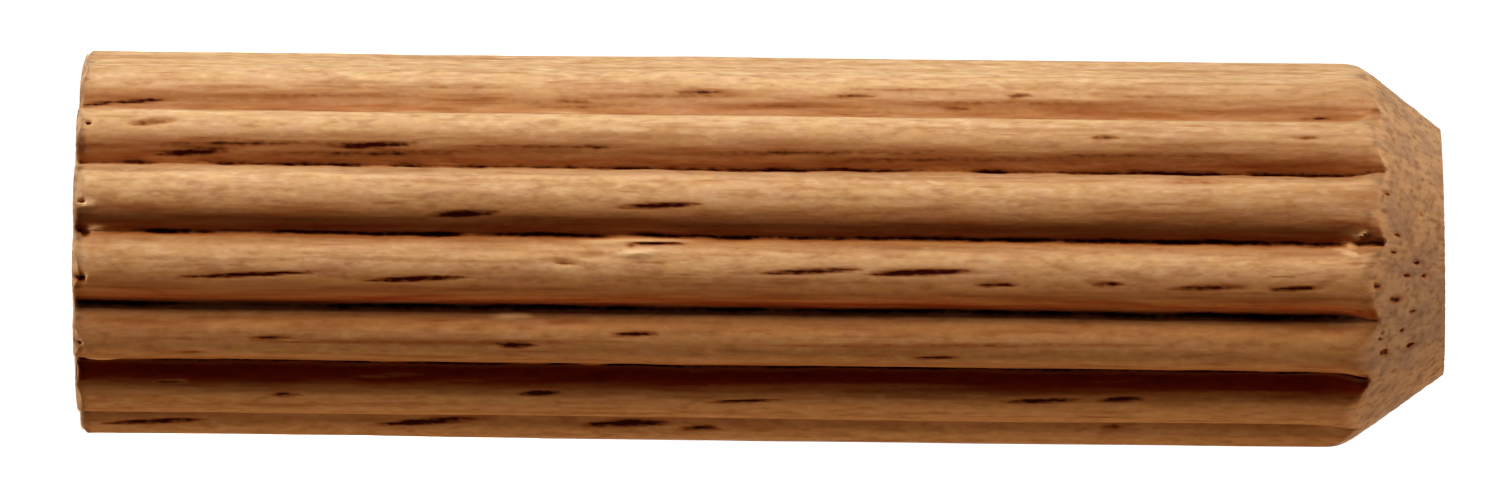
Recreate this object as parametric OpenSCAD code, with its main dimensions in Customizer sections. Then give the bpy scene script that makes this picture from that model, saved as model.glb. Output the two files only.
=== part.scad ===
// A fluted wood plug: a ridged round pin with one square-cut end and one coned nose.
// It stands on the square end. The origin is the centre of that face, and +Z runs to the nose.

/* [Shank] */
// Diameter over the crests of the ridges
crest_d = 9.9; // [8:0.05:14]
// Length from the square end to the flat of the nose
plug_l = 35; // [20:0.5:60]

/* [Flutes] */
// Number of ridges round the shank
ridge_count = 15; // [12:1:22]
// Depth of the pressed grooves below the crests
groove_depth = 0.45; // [0.15:0.05:0.5]
// Radius of the rounded bottoms of the grooves
groove_round = 0.3; // [0.1:0.05:0.4]

/* [Square end] */
// Width of the worn bevel round the square-cut face
rim_bevel = 0.15; // [0.1:0.05:0.6]

/* [Nose] */
// Diameter of the flat at the tip
nose_d = 6.3; // [4:0.1:7]
// Length of the coned nose, as a centred cutter would leave it
nose_l = 2.5; // [1.5:0.1:4]
// How far the cutter ran off the centre of the plug
nose_offset = 0.45; // [0:0.05:0.7]
// Direction of that offset round the plug, in degrees from +X
nose_offset_angle = 260; // [0:1:360]

/* [Hidden] */
$fn = 96;

// Overshoot that keeps the cuts clear of the faces they trim
spare = 1;
// Overlap that lets each ridge arc cross the groove arcs beside it
seat = 0.0002;

crest_r = crest_d / 2;
half_pitch = 180 / ridge_count;

// A ridge is an arc that touches the crest circle and runs smoothly into the arcs of its two grooves
groove_axis_r = crest_r - groove_depth + groove_round;
groove_reach = groove_axis_r * cos(half_pitch);
groove_touch = groove_round - seat;
crest_to_groove_sq = crest_r ^ 2 + groove_axis_r ^ 2 - 2 * crest_r * groove_reach;
ridge_r = (crest_to_groove_sq - groove_touch ^ 2) / (2 * (crest_r + groove_touch - groove_reach));
ridge_axis_r = crest_r - ridge_r;

nose_r = nose_d / 2;
nose_slope = (crest_r - nose_r) / nose_l;
nose_reach_r = crest_r + nose_offset + spare;
nose_reach_l = (nose_reach_r - nose_r) / nose_slope;

// Outline of the reeded bar across the grain, with the first crest on +X
module fluted_section() {
    difference() {
        polygon([
            for (i = [0 : 2 * ridge_count - 1])
                (i % 2 == 0 ? ridge_axis_r : groove_axis_r) * [cos(i * half_pitch), sin(i * half_pitch)]
        ]);
        for (i = [0 : ridge_count - 1])
            rotate((2 * i + 1) * half_pitch)
                translate([groove_axis_r, 0])
                    circle(r = groove_round);
    }
    for (i = [0 : ridge_count - 1])
        rotate(2 * i * half_pitch)
            translate([ridge_axis_r, 0])
                circle(r = ridge_r);
}

// Bar stock that both ends are cut from
module fluted_bar() {
    translate([0, 0, -spare])
        linear_extrude(height = plug_l + 2 * spare)
            fluted_section();
}

// Space left by the saw cut and the bevel round it
module square_end_limit() {
    rotate_extrude()
        polygon([
            [0, 0],
            [crest_r - rim_bevel, 0],
            [crest_r + spare, rim_bevel + spare],
            [crest_r + spare, plug_l + 2 * spare],
            [0, plug_l + 2 * spare],
        ]);
}

// Space left by the nose cutter, which ran off centre, so the flutes run out sooner on one side
module nose_limit() {
    rotate(nose_offset_angle)
        translate([nose_offset, 0, 0])
            rotate_extrude()
                polygon([
                    [0, -2 * spare],
                    [nose_reach_r, -2 * spare],
                    [nose_reach_r, plug_l - nose_reach_l],
                    [nose_r, plug_l],
                    [0, plug_l],
                ]);
}

module wood_plug() {
    color("burlywood")
        intersection() {
            fluted_bar();
            square_end_limit();
            nose_limit();
        }
}

wood_plug();
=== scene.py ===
import math

import bpy
import numpy as np
from mathutils import Matrix, Vector


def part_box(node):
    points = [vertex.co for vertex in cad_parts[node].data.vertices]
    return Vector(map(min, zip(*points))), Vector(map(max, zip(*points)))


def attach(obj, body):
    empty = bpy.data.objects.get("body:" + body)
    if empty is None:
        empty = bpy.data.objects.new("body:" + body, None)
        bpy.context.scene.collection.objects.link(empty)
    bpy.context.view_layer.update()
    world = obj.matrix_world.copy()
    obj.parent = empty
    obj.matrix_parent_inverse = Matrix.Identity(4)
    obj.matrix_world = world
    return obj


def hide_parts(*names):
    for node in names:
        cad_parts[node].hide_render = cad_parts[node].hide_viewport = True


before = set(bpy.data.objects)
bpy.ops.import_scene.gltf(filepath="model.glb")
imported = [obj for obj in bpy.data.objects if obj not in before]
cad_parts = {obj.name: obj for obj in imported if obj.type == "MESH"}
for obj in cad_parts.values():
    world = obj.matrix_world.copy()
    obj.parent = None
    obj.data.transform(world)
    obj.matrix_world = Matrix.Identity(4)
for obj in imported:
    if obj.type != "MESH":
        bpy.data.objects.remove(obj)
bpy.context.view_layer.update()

MM = 0.001
NODE = "wood_plug"
TURN = 2 * math.pi

# Sizes in millimetres, read from the frame or repeated from the part's source
LOW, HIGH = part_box(NODE)
CREST_R = HIGH[0] / MM
PLUG_L = HIGH[2] / MM
RIDGE_COUNT = 15
GROOVE_DEPTH = 0.45
GROOVE_ROUND = 0.3
RIM_BEVEL = 0.15
NOSE_R = 3.15
NOSE_L = 2.5
NOSE_OFFSET = 0.45
NOSE_OFFSET_ANGLE = math.radians(260)

# Arcs of the ridges and grooves, as the part's source works them out
HALF_PITCH = math.pi / RIDGE_COUNT
GROOVE_R = CREST_R - GROOVE_DEPTH
GROOVE_AXIS_R = GROOVE_R + GROOVE_ROUND
GROOVE_AXIS = Vector((math.cos(HALF_PITCH), math.sin(HALF_PITCH))) * GROOVE_AXIS_R
CREST_TO_GROOVE = (GROOVE_AXIS - Vector((CREST_R, 0))).length
RIDGE_R = (CREST_TO_GROOVE**2 - GROOVE_ROUND**2) / (2 * (CREST_R + GROOVE_ROUND - GROOVE_AXIS.x))
RIDGE_AXIS_R = CREST_R - RIDGE_R
TOUCH = GROOVE_AXIS.lerp(Vector((RIDGE_AXIS_R, 0)), GROOVE_ROUND / (RIDGE_R + GROOVE_ROUND))
TOUCH_ANGLE = math.atan2(TOUCH.y, TOUCH.x)
NOSE_SLOPE = (CREST_R - NOSE_R) / NOSE_L
TIP_REACH = NOSE_R + NOSE_OFFSET
NOSE_X = NOSE_OFFSET * math.cos(NOSE_OFFSET_ANGLE)
NOSE_Y = NOSE_OFFSET * math.sin(NOSE_OFFSET_ANGLE)

# Direction of the photograph's side of the plug. Angles from it grow toward the top of the picture
PHOTO_SIDE = math.radians(279.75)
# Grooves on that side, in degrees from it: where each should lie, how far it strays toward the top of the
# picture, and how open its crack is, from 0 to 1. Then the darkness and the width, in millimetres, of the
# painted shade, partly real burnish of the pressed walls, on the side of the groove toward the top of the
# picture, and of that on its other side
SEEN_GROOVES = (
    (-92.25, 0.0, 1.0, 0.30, 0.60, 0.24, 0.42),
    (-68.25, -2.2, 0.8, 0.30, 0.45, 0.24, 0.42),
    # On this groove's other side the wide dark band is a painted cast shadow from the ridge above it
    (-44.25, 2.5, 1.0, 0.30, 0.45, 0.70, 0.70),
    (-20.25, 0.0, 1.0, 0.46, 0.66, 0.22, 0.42),
    (3.75, 0.4, 1.0, 0.36, 0.75, 0.25, 0.42),
    (27.75, 0.0, 0.9, 0.31, 0.65, 0.33, 0.48),
    (51.75, -1.3, 0.35, 0.25, 1.00, 0.35, 0.42),
    (75.75, 0.0, 0.0, 0.00, 0.60, 0.00, 0.42),
    (99.75, 0.0, 1.0, 0.30, 0.60, 0.24, 0.42),
)
# Up to this darkness the other side of a groove gets a soft painted shade. The rest, times the gain, gets
# deeper painted shade
SOFT_SHADE_MOST = 0.35
GROOVE_SHADE_GAIN = 2
# The side toward the bottom of the picture, away from the main light, is darkened a little with painted
# shade: angles, and how much there
LOW_SIDE_SHADE_PLACES = (-120, -95, -25, -8)
LOW_SIDE_SHADE = (0.0, 0.13, 0.13, 0.0)
# The side toward the top of the picture is darkened with painted shade near the nose, where the light falls
# off: angles, how much there, the height where it starts and the length over which it grows
NOSE_SHADE_PLACES = (0, 15, 90, 120)
NOSE_SHADE = (0.0, 0.16, 0.16, 0.0)
NOSE_SHADE_START = 20
NOSE_SHADE_L = 8
# The groove at the top of the picture is worn shallow
WORN_GROOVE = 75.75
WORN_HALF_W = 9
WORN_FILL = 0.36
# The edge of the square end is rubbed off a little in the grooves too
GROOVE_BEVEL = 0.04
# Slope of the hand-fed cut across the tip: the side at the top of the picture is shorter
NOSE_SKEW = 0.024
# Crushed fibres fill part of each groove where it runs out into the nose, and the arris there is worn
NOSE_FILL = 0.30
NOSE_FILL_L = 1.2
ARRIS_WEAR = 0.10

# Mesh density
COLUMNS = RIDGE_COUNT * 34
SQUARE_RINGS = 9
BEVEL_ROWS = 3
END_ROWS = 9
END_SHARE = 0.018
MIDDLE_ROWS = 132
CONE_ROWS = 18
FLAT_RINGS = 10
SHARP_ANGLE = math.radians(38)

# Seeds of the random draws
SLIT_SEED = 5
VESSEL_SEED = 11
FIBRE_SEED = 23
END_SEED = 31
WEAR_SEED = 41

# Open vessels that the photograph shows as dark lines: height of the middle above the square end,
# offset of the line from the plug's axis toward the top of the picture, length and darkness
SEEN_VESSELS = (
    (1.05, 3.58, 2.6, 0.84), (15.90, 4.05, 1.3, 0.60), (12.65, 3.75, 0.85, 0.56), (19.80, 3.95, 1.25, 0.56),
    (22.40, 3.70, 0.6, 0.52), (24.00, 4.05, 0.7, 0.62), (26.20, 2.95, 0.7, 0.58), (31.70, 3.55, 1.25, 0.62),
    (31.35, 3.00, 0.7, 0.56), (3.05, 2.34, 2.0, 0.80), (4.60, 2.60, 0.7, 0.55), (7.65, 2.55, 2.0, 0.88),
    (13.30, 2.55, 0.65, 0.75), (18.00, 2.50, 0.75, 0.75), (10.00, 0.85, 1.6, 1.0), (14.90, 1.10, 2.0, 0.88),
    (4.40, -0.75, 3.3, 1.0), (8.80, -0.85, 2.3, 1.0), (18.80, -0.55, 2.3, 0.84), (21.60, -0.55, 2.45, 0.84),
    (23.50, -0.80, 1.0, 1.0), (26.30, -0.75, 0.85, 0.8), (28.90, -0.85, 1.9, 0.76), (31.10, -0.85, 1.3, 0.86),
    (5.10, -2.35, 1.15, 0.7), (3.00, -2.75, 0.75, 0.5), (14.30, -2.20, 1.15, 0.8), (11.30, -2.50, 0.9, 0.9),
    (12.60, -1.90, 1.2, 0.5), (22.00, -2.70, 1.15, 0.8), (2.40, -3.55, 0.9, 0.7), (5.35, -3.80, 0.7, 1.0),
    (11.85, -3.70, 1.0, 1.0), (17.10, -3.85, 1.65, 0.9), (24.70, -3.75, 1.8, 0.9), (26.70, -3.70, 1.15, 0.9),
    (1.90, -4.60, 2.3, 1.0), (9.00, -4.50, 2.6, 1.0), (14.00, -4.50, 2.1, 1.0), (15.90, -4.58, 1.0, 0.9),
    (26.50, -4.45, 0.5, 0.7),
)
# Brown streaks and stains on the photograph's side: height, offset, length, width, darkness
SEEN_STREAKS = (
    (4.5, 2.55, 7.0, 0.16, 0.56), (12.0, 2.60, 6.0, 0.15, 0.52), (19.0, 2.52, 9.0, 0.15, 0.52),
    (27.0, 2.48, 8.0, 0.15, 0.52), (7.5, 2.38, 8.0, 0.15, 0.54), (22.0, 2.35, 9.0, 0.15, 0.52),
    (3.5, 4.05, 3.0, 0.16, 0.36), (9.5, 4.10, 4.0, 0.16, 0.36), (12.5, 3.62, 3.0, 0.16, 0.40),
    (18.0, 3.65, 4.0, 0.16, 0.40), (21.0, 4.12, 4.0, 0.16, 0.36), (27.5, 4.05, 4.0, 0.16, 0.36),
    (29.5, 3.62, 3.0, 0.16, 0.40),
    (6.0, 0.66, 7.0, 0.20, 0.36), (16.0, 0.58, 9.0, 0.16, 0.36), (26.0, 0.62, 8.0, 0.16, 0.36),
    (7.0, -1.15, 8.0, 0.16, 0.34), (17.0, -1.25, 7.0, 0.14, 0.34), (27.0, -1.10, 8.0, 0.14, 0.34),
    (9.5, -2.42, 11.0, 0.16, 0.42), (22.5, -2.36, 12.0, 0.16, 0.42), (28.6, 1.90, 2.4, 0.40, 0.40),
    (6.0, 3.80, 8.0, 0.16, 0.40), (14.5, 3.90, 7.0, 0.16, 0.40), (24.0, 3.85, 8.0, 0.20, 0.40),
    (8.0, -3.60, 7.0, 0.16, 0.40), (19.0, -3.50, 9.0, 0.20, 0.42), (29.0, -3.55, 6.0, 0.16, 0.40),
    (3.6, -1.08, 8.0, 0.50, 0.24),
)
VESSEL_W = 0.145
VESSEL_DEPTH = 0.02
# Vessels climb a little toward the nose, because the rod was cut a little across the grain
VESSEL_SLANT = 0.05
SLANT_SPREAD = 0.01
STREAK_SLANT = VESSEL_SLANT / 4
# A mark keeps this share of its width at its ends. It fades there, so a seen vessel is made longer
LENS_TIP = 0.45
SEEN_STRETCH = 1.25
SEEN_W_RANGE = (0.85, 1.25)
# Vessels like them round the back: how many, and the ranges that they are drawn from
HIDDEN_VESSELS = 95
HIDDEN_SIDES = (math.pi * 0.5, math.pi * 1.5)
HIDDEN_HEIGHTS = (0.5, PLUG_L - NOSE_L)
HIDDEN_LENGTHS = (0.6, 2.6)
HIDDEN_W_RANGE = (0.7, 1.2)
HIDDEN_DARKNESS = (0.6, 1.0)
# Fine, faint vessels all round
FINE_VESSELS = 700
FINE_LENGTHS = (0.5, 3.2)
FINE_DARKNESS = (0.12, 0.4)
FINE_SLANT_SPREAD = 0.015
FINE_W_SHARE = 0.6
FINE_DEPTH_SHARE = 0.3

# Cracks in the bottoms of the pressed grooves
SLIT_DEPTH = 0.14
SLIT_HALF_W = 0.085
# The cracks are coloured dark: painted shade in the groove bottoms
SLIT_DARKNESS = 0.8
# How far a crack wanders, and the cells of that noise along the plug
SLIT_WANDERS = ((0.02, 22), (0.015, 70))
# How open a crack is: usual share, how uneven it is, its limits, and the cells round the plug and along it
SLIT_OPEN = 0.9
SLIT_UNEVEN = 0.2
SLIT_OPEN_RANGE = (0.2, 1.4)
SLIT_CELLS = (RIDGE_COUNT * 4, 45)

# Relief of the fibres and of the uneven press: depth, and cells round the plug and along it
FIBRE_RELIEF = (
    (0.0005, COLUMNS // 2, 40),
    (0.0012, COLUMNS // 4, 60),
    (0.0045, COLUMNS // 10, 20),
    (0.012, RIDGE_COUNT * 2, 6),
)

# Pits in the worn rim of the square end, coloured dark as painted shade: height, offset toward the top of the
# picture, size
RIM_PITS = (
    (0.20, -0.90, 0.26), (0.30, 0.25, 0.20), (0.25, 1.05, 0.14), (0.30, 3.05, 0.12), (0.15, -2.6, 0.12),
)
RIM_PIT_DEPTH = 0.12
PIT_STRETCH = 1.4
# Small chips all along that rim: depth for one unit of noise, the most units, and the cells round the plug
RIM_CHIP_DEPTH = 0.03
RIM_CHIP_MOST = 2
RIM_CHIP_CELLS = COLUMNS // 5
# Torn fibres that catch the light: height, offset, length, width, slope toward the top of the picture
TORN_FIBRES = (
    (0.55, 0.34, 0.7, 0.16, 0.1), (0.70, -2.95, 0.9, 0.16, 0.0), (0.35, 1.00, 0.5, 0.18, 0.1),
    (14.30, 0.21, 3.0, 0.16, 0.02), (14.35, -0.08, 1.2, 0.20, 0.06), (32.45, 0.30, 0.6, 0.16, 0.5),
    (32.50, 0.06, 0.4, 0.14, -0.3), (32.75, 0.55, 0.4, 0.10, 0.5), (11.2, -1.75, 1.0, 0.12, 0.05),
)
FIBRE_LIFT = 0.09
# Nicks and tears that show reddish or dark wood, and a painted shadow under a lifted fibre: height, offset,
# length, width, slope, darkness
CHIPS = (
    (1.95, 3.12, 1.5, 0.26, 0.12, 0.50), (13.25, -0.18, 0.8, 0.26, 0.1, 0.40),
    # The mark at 14.90 is the painted shadow under the lifted fibre at 14.30
    (14.90, 0.14, 1.6, 0.10, 0.03, 0.85), (12.55, -0.42, 0.6, 0.12, 0.02, 0.42),
    (9.6, 2.20, 0.5, 0.12, 0.1, 0.42), (14.12, 0.02, 0.45, 0.09, 0.5, 0.60),
)
CHIP_DEPTH = 0.06
# Vessels cut across on the nose cone: height, offset, size
NOSE_PORES = (
    (33.15, -0.78, 0.22), (33.65, -1.10, 0.26), (33.95, -0.45, 0.16), (34.40, -0.45, 0.16),
    (33.40, -2.43, 0.24), (34.05, -2.28, 0.20), (33.30, -2.10, 0.14), (33.00, -0.27, 0.14),
    (34.20, -0.12, 0.14), (33.85, -1.85, 0.16), (33.70, 0.55, 0.14), (34.30, 1.10, 0.12),
    (33.40, 1.60, 0.12), (34.10, -1.40, 0.14), (33.60, 0.15, 0.12),
)
PORE_DEPTH = 0.06
PORE_DARKNESS = 0.85
# Roughness of the cut ends, as a share of the radius
END_ROUGHNESS = 0.002
# End grain fades out on the shank, near the foot and the nose, and grows up the cone: shares and lengths
FOOT_SHARE = 0.6
FOOT_FADE = 0.25
ARRIS_SHARE = 0.5
NOSE_FADE = 0.9
CONE_FADE = 1.4


def side_angle(angle_from_photo):
    """Angle round the plug, from +X, of a direction given from the photograph's side."""
    return PHOTO_SIDE - angle_from_photo


def turn_between(theta, other):
    """Signed turn from one angle to another."""
    return (theta - other + math.pi) % TURN - math.pi


def flute_radius(theta):
    """Radius of the reeded outline: ridge arcs that run smoothly into groove arcs."""
    from_crest = np.abs((theta + HALF_PITCH) % (2 * HALF_PITCH) - HALF_PITCH)
    from_groove = HALF_PITCH - from_crest
    ridge = RIDGE_R**2 - (RIDGE_AXIS_R * np.sin(from_crest)) ** 2
    ridge = RIDGE_AXIS_R * np.cos(from_crest) + np.sqrt(np.maximum(ridge, 0))
    groove = GROOVE_ROUND**2 - (GROOVE_AXIS_R * np.sin(from_groove)) ** 2
    groove = GROOVE_AXIS_R * np.cos(from_groove) - np.sqrt(np.maximum(groove, 0))
    return np.where(from_crest < TOUCH_ANGLE, ridge, groove)


def nose_radius(theta, height):
    """Radius, from the plug's axis, of the off-centre nose cone at a height."""
    cone_r = NOSE_R + NOSE_SLOPE * (PLUG_L - height)
    along = NOSE_X * np.cos(theta) + NOSE_Y * np.sin(theta)
    across = NOSE_X * np.sin(theta) - NOSE_Y * np.cos(theta)
    return along + np.sqrt(cone_r**2 - across**2)


def nose_start(theta, radius):
    """Height at which the nose cone cuts the reeded outline."""
    reach = np.hypot(radius * np.cos(theta) - NOSE_X, radius * np.sin(theta) - NOSE_Y)
    return PLUG_L - (reach - NOSE_R) / NOSE_SLOPE


def lattice_noise(rng, theta, height, around, along):
    """Smooth seeded noise over the surface, with a number of cells round the plug and along it."""
    lattice = rng.standard_normal((along + 2, around))
    across = theta % TURN / TURN * around
    up = np.clip(height / PLUG_L, 0, 1) * along
    i, j = np.floor(across).astype(int), np.floor(up).astype(int)
    s, t = across - i, up - j
    s, t = s * s * (3 - 2 * s), t * t * (3 - 2 * t)
    i, after = i % around, (i + 1) % around
    low = lattice[j, i] * (1 - s) + lattice[j, after] * s
    high = lattice[j + 1, i] * (1 - s) + lattice[j + 1, after] * s
    return low * (1 - t) + high * t


class PlugSurface:
    """Rows of vertices from the middle of the square end, up the shank, to the middle of the nose."""

    def __init__(self):
        self.theta = np.arange(COLUMNS) * TURN / COLUMNS
        from_side = np.degrees(turn_between(PHOTO_SIDE, self.theta))
        places, drifts, cracks, *groove_shades = np.transpose(SEEN_GROOVES)
        self.flute_angle = self.theta + np.radians(np.interp(from_side, places, drifts))
        self.crack = np.interp(from_side, places, cracks)
        self.groove_shade_sides = [np.interp(from_side, places, values) for values in groove_shades]
        self.side_shade = np.interp(from_side, LOW_SIDE_SHADE_PLACES, LOW_SIDE_SHADE)
        self.nose_shade = np.interp(from_side, NOSE_SHADE_PLACES, NOSE_SHADE)
        self.outline = flute_radius(self.flute_angle)
        worn = np.exp(-(((from_side - WORN_GROOVE) / WORN_HALF_W) ** 2))
        self.outline += WORN_FILL * worn * (CREST_R - self.outline) / GROOVE_DEPTH
        self.rim_r = np.minimum(self.outline - GROOVE_BEVEL, CREST_R - RIM_BEVEL)
        self.bevel_top = self.outline - self.rim_r
        self.fill = NOSE_FILL * (CREST_R - self.outline) / GROOVE_DEPTH
        self.cone_foot = nose_start(self.theta, self.outline + self.fill)
        self.radius, self.height, self.zone, self.lean = [], [], [], []
        self.add_square_end()
        self.add_shank()
        self.add_nose()
        self.radius, self.height = np.array(self.radius), np.array(self.height)
        self.zone, self.lean = np.array(self.zone), np.array(self.lean)
        self.angle = np.broadcast_to(self.theta, self.radius.shape)
        self.push = np.zeros(self.radius.shape)
        self.dark = np.zeros(self.radius.shape)
        self.burnish_and_shade = np.zeros(self.radius.shape)
        self.rubbed_and_shade = np.zeros(self.radius.shape)
        self.pale = np.zeros(self.radius.shape)
        self.end_grain = np.zeros(self.radius.shape)
        self.end_grain[~self.rows("shank")] = 1.0

    def add_row(self, radius, height, zone, lean):
        """One ring. lean turns the way that relief is pushed: 0 sideways, pi / 2 up, -pi / 2 down."""
        self.radius.append(radius)
        self.height.append(np.broadcast_to(height, radius.shape))
        self.zone.append(zone)
        self.lean.append(lean)

    def worn_radius(self, shank_r, height):
        """Radius of the shank or of the nose cone, whichever is inside, with a worn arris between them."""
        nose_r = nose_radius(self.theta, height)
        return -ARRIS_WEAR * np.logaddexp(-shank_r / ARRIS_WEAR, -nose_r / ARRIS_WEAR)

    def add_square_end(self):
        for k in np.linspace(0, 1, SQUARE_RINGS + 1)[1:]:
            self.add_row(self.rim_r * k, 0.0, "square", -math.pi / 2)
        for k in np.linspace(0, 1, BEVEL_ROWS + 1)[1:]:
            self.add_row(self.rim_r + self.bevel_top * k, self.bevel_top * k, "bevel", -math.pi / 4)

    def add_shank(self):
        foot = np.linspace(0, END_SHARE, END_ROWS + 1)[1:]
        middle = np.linspace(END_SHARE, 1 - END_SHARE, MIDDLE_ROWS + 1)[1:]
        top = np.linspace(1 - END_SHARE, 1, END_ROWS + 1)[1:]
        for k in np.concatenate([foot, middle, top]):
            height = self.bevel_top + (self.cone_foot - self.bevel_top) * k
            near_nose = np.clip(1 - (self.cone_foot - height) / NOSE_FILL_L, 0, 1)
            radius = self.worn_radius(self.outline + self.fill * near_nose**2, height)
            self.add_row(radius, height, "shank", 0.0)

    def add_nose(self):
        lean = math.atan(NOSE_SLOPE)
        toward_top = np.sin(PHOTO_SIDE - self.theta)
        for k in np.linspace(0, 1, CONE_ROWS + 1)[1:]:
            height = self.cone_foot + (PLUG_L - self.cone_foot) * k
            radius = self.worn_radius(self.outline + self.fill, height)
            self.add_row(radius, height - NOSE_SKEW * (TIP_REACH + toward_top * radius) * k, "cone", lean)
        flat_r = self.radius[-1]
        for k in np.linspace(1, 0, FLAT_RINGS + 1)[1:-1]:
            height = PLUG_L - NOSE_SKEW * (TIP_REACH + toward_top * flat_r * k)
            self.add_row(flat_r * k, height, "flat", math.pi / 2)

    def rows(self, *zones):
        return np.isin(self.zone, zones)

    def angle_seen_at(self, offset, outline):
        """Angle of the point on the photograph's side that the picture shows at an offset from the axis."""
        from_side = turn_between(PHOTO_SIDE, self.theta)
        across = outline * np.sin(from_side)
        gap = np.where(np.abs(from_side) < math.pi / 2, np.abs(across - offset), CREST_R)
        return self.theta[np.argmin(gap)]

    def mark(self, zones, height, theta, length, width, slant=0.0):
        """Rows of some zones, and a lens-shaped mask on them from 0 at its edge to 1 in the middle."""
        rows = self.rows(*zones)
        z = self.height[rows]
        along = (z - height) / (length / 2)
        across = turn_between(self.angle[rows], theta) * self.radius[rows] + slant * (z - height)
        body = np.clip(1 - along**2, 0, 1)
        taper = width / 2 * (LENS_TIP + (1 - LENS_TIP) * body)
        return rows, np.sqrt(body) * np.exp(-((across / taper) ** 2))

    def sink(self, rows, mask, depth, darkness):
        self.push[rows] -= depth * mask
        self.dark[rows] = np.maximum(self.dark[rows], darkness * mask)

    def add_vessels(self):
        """Vessels and brown streaks that the photograph shows, vessels round the back, and fine ones."""
        rng = np.random.default_rng(VESSEL_SEED)
        for height, offset, length, darkness in SEEN_VESSELS:
            theta = self.angle_seen_at(offset, self.outline)
            width = VESSEL_W * rng.uniform(*SEEN_W_RANGE)
            slant = rng.normal(VESSEL_SLANT, SLANT_SPREAD)
            rows, mask = self.mark(["shank"], height, theta, length * SEEN_STRETCH, width, slant)
            self.sink(rows, mask, VESSEL_DEPTH, darkness)
        for _ in range(HIDDEN_VESSELS):
            theta = side_angle(rng.uniform(*HIDDEN_SIDES))
            height = rng.uniform(*HIDDEN_HEIGHTS)
            length = rng.uniform(*HIDDEN_LENGTHS)
            width = VESSEL_W * rng.uniform(*HIDDEN_W_RANGE)
            slant = rng.normal(VESSEL_SLANT, SLANT_SPREAD)
            rows, mask = self.mark(["shank"], height, theta, length, width, slant)
            self.sink(rows, mask, VESSEL_DEPTH, rng.uniform(*HIDDEN_DARKNESS))
        for height, offset, length, width, darkness in SEEN_STREAKS:
            theta = self.angle_seen_at(offset, self.outline)
            rows, mask = self.mark(["shank"], height, theta, length, width, STREAK_SLANT)
            self.sink(rows, mask, 0, darkness)
        for _ in range(FINE_VESSELS):
            theta = rng.uniform(0, TURN)
            height = rng.uniform(0, PLUG_L)
            length = rng.uniform(*FINE_LENGTHS)
            slant = rng.normal(VESSEL_SLANT, FINE_SLANT_SPREAD)
            rows, mask = self.mark(["shank"], height, theta, length, VESSEL_W * FINE_W_SHARE, slant)
            self.sink(rows, mask, VESSEL_DEPTH * FINE_DEPTH_SHARE, rng.uniform(*FINE_DARKNESS))

    def add_slits(self):
        """Tight crack that the pressing leaves in the bottom of each groove, coloured dark as painted shade,
        and painted shade, partly real burnish, on the wood beside it.
        """
        rng = np.random.default_rng(SLIT_SEED)
        rows = self.rows("shank")
        height = self.height[rows]
        angle = np.broadcast_to(self.flute_angle, height.shape)
        wander = np.zeros(height.shape)
        for reach, along in SLIT_WANDERS:
            wander += reach * lattice_noise(rng, angle, height, RIDGE_COUNT, along)
        from_groove = (angle % (2 * HALF_PITCH) - HALF_PITCH) * GROOVE_R + wander
        uneven = SLIT_OPEN + SLIT_UNEVEN * lattice_noise(rng, angle, height, *SLIT_CELLS)
        crack = np.clip(uneven, *SLIT_OPEN_RANGE) * self.crack * np.exp(-((from_groove / SLIT_HALF_W) ** 2))
        # Painted shade: the crack is coloured dark
        self.sink(rows, crack, SLIT_DEPTH, SLIT_DARKNESS)
        above, above_w, below, below_w = self.groove_shade_sides
        above = above * np.exp(-((from_groove / above_w) ** 2))
        below = below * np.exp(-((from_groove / below_w) ** 4))
        is_above = from_groove < 0
        # Painted shade beside the grooves, partly real burnish; below the wide groove it is a painted cast
        # shadow
        self.burnish_and_shade[rows] = np.where(is_above, above, GROOVE_SHADE_GAIN * np.maximum(below - SOFT_SHADE_MOST, 0))
        # Painted shade on the side away from the main light, and on the lit side toward the nose
        near_nose = np.clip((height - NOSE_SHADE_START) / NOSE_SHADE_L, 0, 1)
        side_shade = np.maximum(self.side_shade, self.nose_shade * near_nose)
        # Softer painted shade, partly real burnish, on the other side of the grooves
        self.rubbed_and_shade[rows] = np.maximum(np.where(is_above, 0, np.minimum(below, SOFT_SHADE_MOST)), side_shade)

    def add_fibres(self):
        """Fine lengthwise relief on the shank, and the uneven press of each ridge."""
        rng = np.random.default_rng(FIBRE_SEED)
        rows = self.rows("shank")
        angle, height = self.angle[rows], self.height[rows]
        relief = np.zeros(height.shape)
        for depth, around, along in FIBRE_RELIEF:
            relief += depth * lattice_noise(rng, angle, height, around, along)
        self.push[rows] += relief

    def add_wear(self):
        """Pits and chips of the rim, torn fibres and nicks."""
        rng = np.random.default_rng(WEAR_SEED)
        for height, offset, size in RIM_PITS:
            theta = self.angle_seen_at(offset, self.outline)
            rows, mask = self.mark(["shank", "bevel"], height, theta, size * PIT_STRETCH, size)
            # Painted shade: the pits are coloured fully dark
            self.sink(rows, mask, RIM_PIT_DEPTH, 1.0)
        for height, offset, length, width, slope in TORN_FIBRES:
            theta = self.angle_seen_at(offset, self.outline)
            rows, mask = self.mark(["shank"], height, theta, length, width, slope)
            self.push[rows] += FIBRE_LIFT * mask
            self.pale[rows] = np.maximum(self.pale[rows], mask)
            self.dark[rows] *= 1 - mask
            self.burnish_and_shade[rows] *= 1 - mask
            self.rubbed_and_shade[rows] *= 1 - mask
        for height, offset, length, width, slope, darkness in CHIPS:
            theta = self.angle_seen_at(offset, self.outline)
            rows, mask = self.mark(["shank"], height, theta, length, width, slope)
            self.sink(rows, mask, CHIP_DEPTH, darkness)
        rows = self.rows("bevel")
        chipped = lattice_noise(rng, self.angle[rows], self.height[rows], RIM_CHIP_CELLS, 1)
        self.push[rows] -= RIM_CHIP_DEPTH * np.clip(chipped, 0, RIM_CHIP_MOST)

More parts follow.
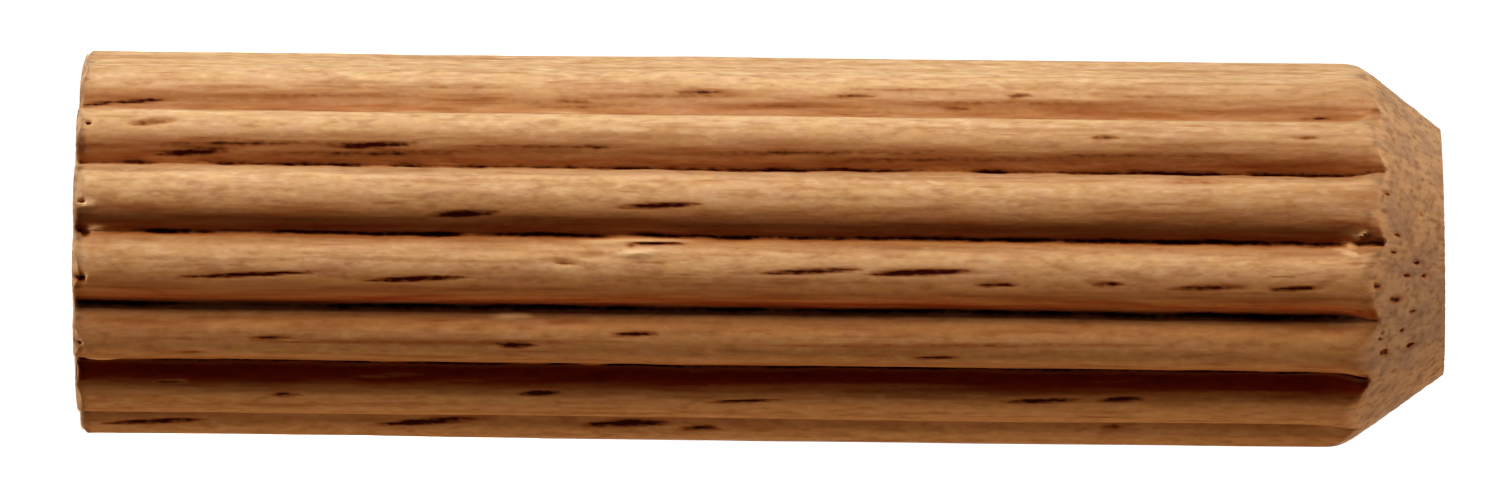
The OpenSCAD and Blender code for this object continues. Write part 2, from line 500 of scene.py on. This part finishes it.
    def add_end_grain(self):
        """Rough, pitted faces where the fibres are cut across."""
        rng = np.random.default_rng(END_SEED)
        rows = self.rows("cone", "flat")
        self.push[rows] += rng.normal(0, END_ROUGHNESS, self.radius[rows].shape) * self.radius[rows]
        for height, offset, size in NOSE_PORES:
            theta = self.angle_seen_at(offset, nose_radius(self.theta, height))
            rows, mask = self.mark(["cone"], height, theta, size * PIT_STRETCH, size)
            self.sink(rows, mask, PORE_DEPTH, PORE_DARKNESS)
        rows = self.rows("square")
        self.push[rows] -= np.abs(rng.normal(0, END_ROUGHNESS, self.radius[rows].shape)) * self.radius[rows]
        near_foot = np.clip(1 - (self.height - RIM_BEVEL) / FOOT_FADE, 0, 1)
        near_nose = np.clip(1 - (self.cone_foot - self.height) / NOSE_FADE, 0, 1)
        rows = self.rows("shank")
        self.end_grain[rows] = np.maximum(FOOT_SHARE * near_foot, ARRIS_SHARE * near_nose)[rows]
        rows = self.rows("cone")
        up_cone = (self.height - self.cone_foot) / CONE_FADE
        self.end_grain[rows] = np.clip(ARRIS_SHARE + up_cone, 0, 1)[rows]

    def points(self):
        """Vertex places in millimetres, with the relief pushed out along the surface."""
        lean = self.lean[:, None]
        radius = self.radius + self.push * np.cos(lean)
        height = self.height + self.push * np.sin(lean)
        points = np.stack([radius * np.cos(self.angle), radius * np.sin(self.angle), height], 2)
        return np.clip(points, np.array(LOW) / MM, np.array(HIGH) / MM)


def surface_mesh(name, surface):
    """One closed mesh from the rows, with a fan at each end and the colour masks as attributes."""
    rows = len(surface.radius)
    points = surface.points().reshape(-1, 3)
    middles = np.array([[0, 0, 0], [0, 0, PLUG_L - NOSE_SKEW * TIP_REACH]])
    points = np.concatenate([points, middles]) * MM
    foot, tip, top = rows * COLUMNS, rows * COLUMNS + 1, (rows - 1) * COLUMNS
    column = np.arange(COLUMNS)
    after = (column + 1) % COLUMNS
    faces = []
    for row in range(rows - 1):
        low, high = row * COLUMNS, (row + 1) * COLUMNS
        faces += np.stack([low + column, low + after, high + after, high + column], 1).tolist()
    faces += [[foot, int(b), int(a)] for a, b in zip(column, after)]
    faces += [[tip, int(top + a), int(top + b)] for a, b in zip(column, after)]
    mesh = bpy.data.meshes.new(name)
    mesh.from_pydata(points.tolist(), [], faces)
    for label, values, at_middles in (
        ("dark", surface.dark, (0, 0)),
        ("burnish_and_shade", surface.burnish_and_shade, (0, 0)),
        ("rubbed_and_shade", surface.rubbed_and_shade, (0, 0)),
        ("pale", surface.pale, (0, 0)),
        ("end_grain", surface.end_grain, (1, 1)),
    ):
        layer = mesh.attributes.new(label, "FLOAT", "POINT")
        layer.data.foreach_set("value", np.concatenate([values.ravel(), at_middles]).astype(np.float32))
    mesh.shade_smooth()
    mesh.set_sharp_from_angle(angle=SHARP_ANGLE)
    mesh.update()
    return mesh


class Shader:
    """Short way to write a node tree."""

    def __init__(self, tree):
        self.tree = tree

    def node(self, kind, settings=None, **inputs):
        made = self.tree.nodes.new(kind)
        for key, value in (settings or {}).items():
            setattr(made, key, value)
        for key, value in inputs.items():
            self.feed(made, key.replace("_", " "), value)
        return made

    def feed(self, made, key, value):
        socket = made.inputs[key]
        if isinstance(value, bpy.types.NodeSocket):
            self.tree.links.new(value, socket)
        else:
            socket.default_value = value

    def attribute(self, name):
        return self.node("ShaderNodeAttribute", {"attribute_name": name}).outputs["Fac"]

    def cells(self, place, across, along):
        """Place scaled so that one unit is across or along millimetres."""
        mapping = self.node("ShaderNodeMapping", Vector=place)
        mapping.inputs["Scale"].default_value = (1 / (across * MM), 1 / (across * MM), 1 / (along * MM))
        return mapping.outputs["Vector"]

    def noise(self, place, across, along, detail=2.0, distortion=0.0):
        made = self.node("ShaderNodeTexNoise", Vector=self.cells(place, across, along), Scale=1.0)
        made.inputs["Detail"].default_value = detail
        made.inputs["Distortion"].default_value = distortion
        return made.outputs["Fac"]

    def dots(self, place, across, along):
        """Distance from the nearest of scattered points."""
        made = self.node("ShaderNodeTexVoronoi", Vector=self.cells(place, across, along), Scale=1.0)
        return made.outputs["Distance"]

    def ramp(self, value, start, end, reach=1.0):
        """0 before start, rising to reach at end."""
        made = self.node("ShaderNodeMapRange", {"interpolation_type": "SMOOTHSTEP"}, Value=value)
        made.inputs["From Min"].default_value = start
        made.inputs["From Max"].default_value = end
        made.inputs["To Max"].default_value = reach
        return made.outputs["Result"]

    def math(self, operation, a, b):
        made = self.node("ShaderNodeMath", {"operation": operation})
        self.feed(made, 0, a)
        self.feed(made, 1, b)
        return made.outputs["Value"]

    def scale(self, colour, factor):
        made = self.node("ShaderNodeVectorMath", {"operation": "SCALE"}, Scale=factor)
        self.feed(made, 0, colour)
        return made.outputs["Vector"]

    def mix(self, share, a, b, blend="MIX"):
        made = self.node("ShaderNodeMix", {"data_type": "RGBA", "blend_type": blend})
        self.feed(made, 0, share)
        self.feed(made, 6, a)
        self.feed(made, 7, b)
        return made.outputs[2]


# Colours of the wood, as linear light
WOOD_LIGHT = (0.70, 0.390, 0.180, 1)
WOOD_BASE = (0.60, 0.310, 0.130, 1)
WOOD_BROWN = (0.43, 0.180, 0.068, 1)
WOOD_RED = (0.40, 0.145, 0.045, 1)
WOOD_PALE = (0.84, 0.550, 0.300, 1)
WOOD_PINK = (0.68, 0.360, 0.205, 1)
VESSEL_AND_SHADE_DARK = (0.042, 0.0025, 0.0005, 1)
END_LIGHT = (0.455, 0.246, 0.115, 1)
END_DARK = (0.235, 0.106, 0.042, 1)
END_GREY = (0.325, 0.180, 0.105, 1)
# What soft, middling and deep painted shade beside the grooves and on the shaded sides keeps of the red,
# green and blue of the wood; the middling and deep shade are partly real burnish
SOFT_SHADE_TINT = (0.66, 0.57, 0.49, 1)
GROOVE_SHADE_TINT = (0.74, 0.52, 0.37, 1)
DEEP_SHADE_TINT = (0.70, 0.19, 0.04, 1)
# Surface of the wood, with the depth of its fine bump in millimetres
WOOD_SPECULAR = 0.04
BUMP_STRENGTH = 0.35
BUMP_DEPTH = 0.03


def wood_material():
    material = bpy.data.materials.new("wood")
    material.use_nodes = True
    tree = Shader(material.node_tree)
    shader = material.node_tree.nodes["Principled BSDF"]
    place = tree.node("ShaderNodeTexCoord").outputs["Object"]

    # Long grain, with the cells of each noise in millimetres
    bands = tree.noise(place, across=1.1, along=34, distortion=0.3)
    streaks = tree.noise(place, across=0.32, along=6.0, detail=3.0, distortion=0.2)
    fibres = tree.noise(place, across=0.20, along=2.4)
    specks = tree.noise(place, across=0.14, along=0.26, detail=1.0)
    mottle = tree.noise(place, across=0.22, along=0.55)
    tints = tree.noise(place, across=0.45, along=1.3, distortion=0.5)
    colour = tree.mix(tree.ramp(bands, 0.35, 0.68), WOOD_LIGHT, WOOD_BASE)
    for grain, start, end, reach, tint in (
        (tints, 0.42, 0.66, 0.60, WOOD_PINK),
        (streaks, 0.48, 0.74, 0.70, WOOD_BROWN),
        (fibres, 0.52, 0.78, 0.40, WOOD_BROWN),
        (mottle, 0.50, 0.74, 0.42, WOOD_PALE),
        (mottle, 0.49, 0.26, 0.60, WOOD_BROWN),
    ):
        colour = tree.mix(tree.ramp(grain, start, end, reach), colour, tint)
    colour = tree.scale(colour, tree.math("ADD", tree.math("MULTIPLY", specks, 0.3), 0.85))

    # End grain
    grit = tree.noise(place, across=0.20, along=0.20)
    clouds = tree.noise(place, across=0.6, along=0.6)
    dots = tree.dots(place, across=0.40, along=0.40)
    pores = tree.math("ADD", dots, tree.math("MULTIPLY", clouds, 0.9))
    ends = tree.mix(tree.ramp(clouds, 0.40, 0.66, reach=0.8), END_LIGHT, END_GREY)
    ends = tree.mix(tree.ramp(grit, 0.40, 0.80, reach=0.9), ends, END_DARK)
    ends = tree.mix(tree.ramp(pores, 0.56, 0.36, reach=0.75), ends, VESSEL_AND_SHADE_DARK)
    blur = tree.math("MULTIPLY", tree.math("SUBTRACT", mottle, 0.5), 1.2)
    cut_across = tree.ramp(tree.math("ADD", tree.attribute("end_grain"), blur), 0.25, 0.75)
    colour = tree.mix(cut_across, colour, ends)

    # Torn wood, then the painted shade beside the grooves (partly real burnish) and on the shaded sides, then
    # vessels and cracks
    colour = tree.mix(tree.attribute("pale"), colour, WOOD_PALE)
    patchy = tree.math("ADD", tree.math("MULTIPLY", fibres, 0.6), tree.math("MULTIPLY", mottle, 0.4))
    patchy = tree.math("SUBTRACT", tree.ramp(patchy, 0.30, 0.70), 0.5)
    for label, start, end, patches, tint in (
        ("rubbed_and_shade", 0.06, 0.36, 0.10, SOFT_SHADE_TINT),
        ("burnish_and_shade", 0.06, 0.36, 0.18, GROOVE_SHADE_TINT),
        ("burnish_and_shade", 0.24, 0.60, 0.22, DEEP_SHADE_TINT),
    ):
        shade_mask = tree.attribute(label)
        uneven = tree.math("MULTIPLY", tree.ramp(shade_mask, 0.03, 0.20, reach=patches), patchy)
        shade_mask = tree.math("ADD", shade_mask, uneven)
        colour = tree.mix(tree.ramp(shade_mask, start, end), colour, tint, "MULTIPLY")
    breaks = tree.math("ADD", tree.math("MULTIPLY", fibres, 1.1), tree.math("MULTIPLY", specks, 1.1))
    # The dark mask holds vessels, streaks, nicks and pores, and painted shade in the cracks and rim pits, and
    # one painted shadow line
    ragged = tree.math("MULTIPLY", tree.attribute("dark"), tree.math("SUBTRACT", breaks, 0.1))
    colour = tree.mix(tree.ramp(ragged, 0.06, 0.46), colour, WOOD_RED)
    colour = tree.mix(tree.ramp(ragged, 0.30, 0.75), colour, VESSEL_AND_SHADE_DARK)

    tree.feed(shader, "Base Color", colour)
    shader.inputs["Specular IOR Level"].default_value = WOOD_SPECULAR
    tree.feed(shader, "Roughness", tree.math("ADD", tree.math("MULTIPLY", fibres, 0.3), 0.55))
    relief = tree.math("ADD", mottle, specks)
    bump = tree.node("ShaderNodeBump", Height=relief, Strength=BUMP_STRENGTH, Distance=BUMP_DEPTH * MM)
    tree.feed(shader, "Normal", bump.outputs["Normal"])
    return material


def make_plug():
    surface = PlugSurface()
    surface.add_slits()
    surface.add_fibres()
    surface.add_vessels()
    surface.add_end_grain()
    surface.add_wear()
    mesh = surface_mesh("plug_body", surface)
    mesh.materials.append(wood_material())
    plug = bpy.data.objects.new("plug_body", mesh)
    bpy.context.scene.collection.objects.link(plug)
    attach(plug, "root")
    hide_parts(NODE)


# The photograph's view, in millimetres and in pixels of the 1500 by 500 picture
FRAME_W_PX = 1500
PX_PER_MM = 38.83
CAMERA_DISTANCE = 339
CAMERA_HEIGHT = 24.95
AIM_HEIGHT = 17.13
PHOTO_TILT = math.radians(0.646)
SENSOR_W = 36
CLIP_START = 10
# The main light: degrees from the photograph's side toward the top of the picture, and how far it sinks
KEY_SIDE = 81
KEY_DROP = 0.3
# Sun that lights the floor alone, the white that the camera sees, the fill on the plug, and the floor
WASH_STRENGTH = 3.4
WASH_SPREAD = math.radians(60)
BACKDROP_STRENGTH = 1.2
FILL_COLOUR = (1, 0.45, 0.15, 1)
FILL_STRENGTH = 0.012
FLOOR_HALF_W = 600
FLOOR_COLOUR = (0.95, 0.95, 0.95, 1)
WHITE = (1, 1, 1)


def side_direction(degrees_from_photo):
    """Level unit vector that leaves the plug at an angle from the photograph's side."""
    turn = side_angle(math.radians(degrees_from_photo))
    return Vector((math.cos(turn), math.sin(turn), 0))


def make_camera():
    """Camera rolled on its side, because the photograph shows the standing plug lying across it."""
    place = side_direction(0) * CAMERA_DISTANCE + Vector((0, 0, CAMERA_HEIGHT))
    back = (place - Vector((0, 0, AIM_HEIGHT))).normalized()
    along = (Vector((0, 0, 1)) - back * back.z).normalized()
    up = back.cross(along)
    right = along * math.cos(PHOTO_TILT) + up * math.sin(PHOTO_TILT)
    up = back.cross(right)
    data = bpy.data.cameras.new("camera")
    data.sensor_width = SENSOR_W
    data.lens = SENSOR_W * CAMERA_DISTANCE * PX_PER_MM / FRAME_W_PX
    data.clip_start = CLIP_START * MM
    camera = bpy.data.objects.new("camera", data)
    turn = Matrix((right, up, back)).transposed().to_4x4()
    camera.matrix_world = Matrix.Translation(place * MM) @ turn
    bpy.context.scene.collection.objects.link(camera)
    bpy.context.scene.camera = camera


def make_panel(name, direction, distance, width, height, watts, colour):
    """Soft light panel that faces the middle of the plug."""
    data = bpy.data.lights.new(name, "AREA")
    data.shape = "RECTANGLE"
    data.size = width * MM
    data.size_y = height * MM
    data.energy = watts
    data.color = colour
    light = bpy.data.objects.new(name, data)
    light.location = (direction * distance + Vector((0, 0, PLUG_L / 2))) * MM
    light.rotation_euler = direction.to_track_quat("Z", "Y").to_euler()
    bpy.context.scene.collection.objects.link(light)


def make_lights(floor):
    """Panels by name, direction, distance, width, height, watts and colour, and a sun for the floor."""
    past_foot = (side_direction(KEY_SIDE) + Vector((0, 0, -KEY_DROP))).normalized()
    for panel in (
        ("key_high", past_foot, 250, 130, 160, 0.46, (0.70, 1.18, 1.48)),
        ("key_low", side_direction(54), 250, 90, 160, 0.51, (1.0, 0.73, 0.46)),
        ("top", side_direction(108), 250, 90, 160, 0.09, (0.4, 0.75, 1.0)),
        ("lower", side_direction(-90), 250, 100, 160, 0.29, (1.0, 0.66, 0.34)),
        ("back", side_direction(180), 300, 220, 200, 1.0, WHITE),
        ("overhead", Vector((0, 0, 1)), 300, 60, 60, 0.6, WHITE),
        ("under", Vector((0, 0, -1)), 300, 60, 60, 0.9, WHITE),
    ):
        make_panel(*panel)
    wash = bpy.data.lights.new("floor_wash", "SUN")
    wash.energy = WASH_STRENGTH
    wash.angle = WASH_SPREAD
    lamp = bpy.data.objects.new("floor_wash", wash)
    bpy.context.scene.collection.objects.link(lamp)
    lit = bpy.data.collections.new("floor_wash_lights")
    lit.objects.link(floor)
    lamp.light_linking.receiver_collection = lit


def make_world():
    """White behind everything the camera sees, with a faint warm fill on the plug."""
    world = bpy.data.worlds.new("studio")
    world.use_nodes = True
    tree = Shader(world.node_tree)
    world.node_tree.nodes.clear()
    seen = tree.node("ShaderNodeBackground", Color=(*WHITE, 1), Strength=BACKDROP_STRENGTH)
    fill = tree.node("ShaderNodeBackground", Color=FILL_COLOUR, Strength=FILL_STRENGTH)
    path = tree.node("ShaderNodeLightPath")
    mix = tree.node("ShaderNodeMixShader", Fac=path.outputs["Is Camera Ray"])
    tree.feed(mix, 1, fill.outputs["Background"])
    tree.feed(mix, 2, seen.outputs["Background"])
    tree.node("ShaderNodeOutputWorld", Surface=mix.outputs["Shader"])
    bpy.context.scene.world = world


def make_floor():
    half = FLOOR_HALF_W * MM
    mesh = bpy.data.meshes.new("floor")
    corners = [(-half, -half, 0), (half, -half, 0), (half, half, 0), (-half, half, 0)]
    mesh.from_pydata(corners, [], [(0, 1, 2, 3)])
    material = bpy.data.materials.new("pale_floor")
    material.use_nodes = True
    shader = material.node_tree.nodes["Principled BSDF"]
    shader.inputs["Base Color"].default_value = FLOOR_COLOUR
    shader.inputs["Roughness"].default_value = 1.0
    shader.inputs["Specular IOR Level"].default_value = 0.0
    mesh.materials.append(material)
    floor = bpy.data.objects.new("floor", mesh)
    floor.visible_diffuse = False
    floor.visible_glossy = False
    floor.visible_shadow = False
    bpy.context.scene.collection.objects.link(floor)
    return floor


make_plug()
make_camera()
make_lights(make_floor())
make_world()
bpy.context.scene.view_settings.view_transform = "Standard"
